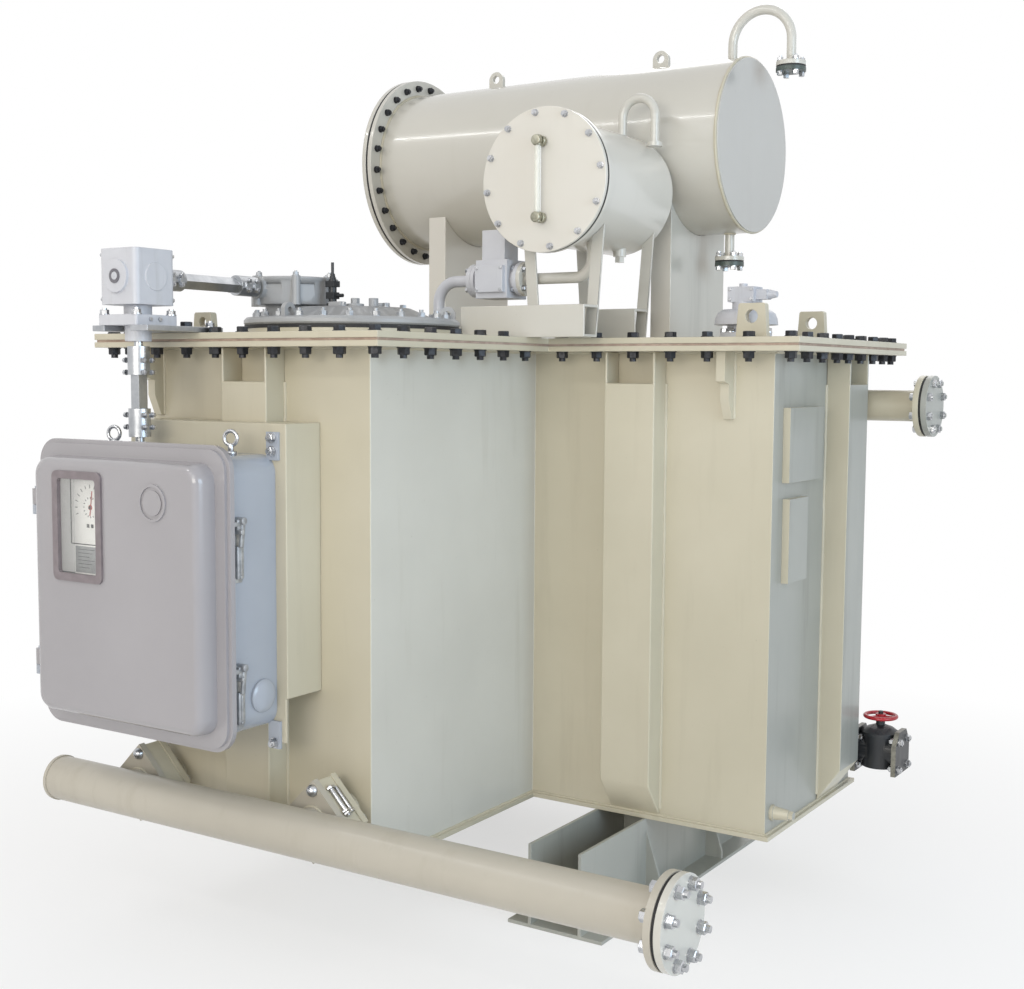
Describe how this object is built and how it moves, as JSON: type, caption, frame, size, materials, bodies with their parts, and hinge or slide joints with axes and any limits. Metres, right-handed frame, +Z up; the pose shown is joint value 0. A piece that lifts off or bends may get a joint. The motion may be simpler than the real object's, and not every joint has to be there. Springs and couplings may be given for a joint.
{
  "type": "rectifier transformer",
  "caption": "Oil-filled rectifier transformer: stepped steel tank with bolted cover, oil conservators, tap changer with motor drive cabinet and drive shafts, oil header pipe and drain valve.",
  "frame": {"origin": "middle of the bounding box at the underside of the base rails", "axes": "+Z up, +X to the right along the long side with the header flange, +Y to the back; the cabinet door faces -Y"},
  "size_m": [1.883, 1.865, 2.4845],
  "materials": {
    "tank_paint": "semi-gloss cream enamel",
    "equipment_paint": "semi-gloss light grey enamel on castings",
    "cabinet_paint": "gloss lilac-grey enamel",
    "gasket_rubber": "matte black",
    "valve_iron": "black enamel on cast iron",
    "wheel_paint": "gloss red enamel",
    "zinc_steel": "zinc plated steel",
    "gauge_brass": "nickel plated brass fittings and glass",
    "window_glass": "clear pane",
    "panel_plastic": "matte white"
  },
  "bodies": {
    "transformer": {"base_rails": "tank_paint", "tank_bottom": "tank_paint", "tank_walls": "tank_paint", "tank_stiffeners": "tank_paint", "tank_fittings": "tank_paint", "tank_rim": "tank_paint", "cover_gasket": "gasket_rubber", "tank_cover": "tank_paint", "cover_lugs": "tank_paint", "header_pipe": "tank_paint", "header_blind": "tank_paint", "header_valves": "tank_paint", "outlet_pipe": "tank_paint", "outlet_blind": "tank_paint", "drain_valve": "valve_iron", "conservator_shell": "tank_paint", "conservator_end": "tank_paint", "conservator_cover": "tank_paint", "conservator_supports": "tank_paint", "conservator_breather": "tank_paint", "conservator_drain": "tank_paint", "tap_conservator_shell": "tank_paint", "tap_conservator_cover": "tank_paint", "tap_conservator_stand": "tank_paint", "oil_gauge": "gauge_brass", "tap_breather": "tank_paint", "relay_pipe": "equipment_paint", "gas_relay": "equipment_paint", "feed_pipe": "tank_paint", "tap_head_flange": "tank_paint", "tap_head_lid": "equipment_paint", "tap_head_gear": "equipment_paint", "head_valve": "valve_iron", "bevel_gearbox": "equipment_paint", "gearbox_bracket": "zinc_steel", "cabinet_bracket": "tank_paint", "cabinet_housing": "cabinet_paint", "indicator_panel": "panel_plastic", "pressure_relief": "equipment_paint"},
    "cabinet_door": {"cabinet_door": "cabinet_paint", "door_window": "window_glass"},
    "drain_handwheel": {"drain_handwheel": "wheel_paint"},
    "vertical_shaft": {"vertical_shaft": "zinc_steel"},
    "horizontal_shaft": {"horizontal_shaft": "zinc_steel"}
  },
  "joints": [
    {"name": "cabinet_door_hinge", "type": "hinge", "parent": "transformer", "child": "cabinet_door", "pos_m": [-0.8635, -0.8615, 0.914], "axis": [0, 0, -1], "range_deg": [0, 115]},
    {"name": "handwheel_turn", "type": "hinge", "parent": "transformer", "child": "drain_handwheel", "pos_m": [0.7995, 0.7735, 0.454], "axis": [0, 0, 1], "continuous": true},
    {"name": "vertical_shaft_turn", "type": "hinge", "parent": "transformer", "child": "vertical_shaft", "pos_m": [-0.5925, -0.7655, 1.387], "axis": [0, 0, 1], "continuous": true},
    {"name": "horizontal_shaft_turn", "type": "hinge", "parent": "transformer", "child": "horizontal_shaft", "pos_m": [-0.5925, -0.5125, 1.67], "axis": [0, 1, 0], "continuous": true}
  ],
  "couplings": [
    {"joint": "horizontal_shaft_turn", "follows": "vertical_shaft_turn", "ratio": 1}
  ]
}
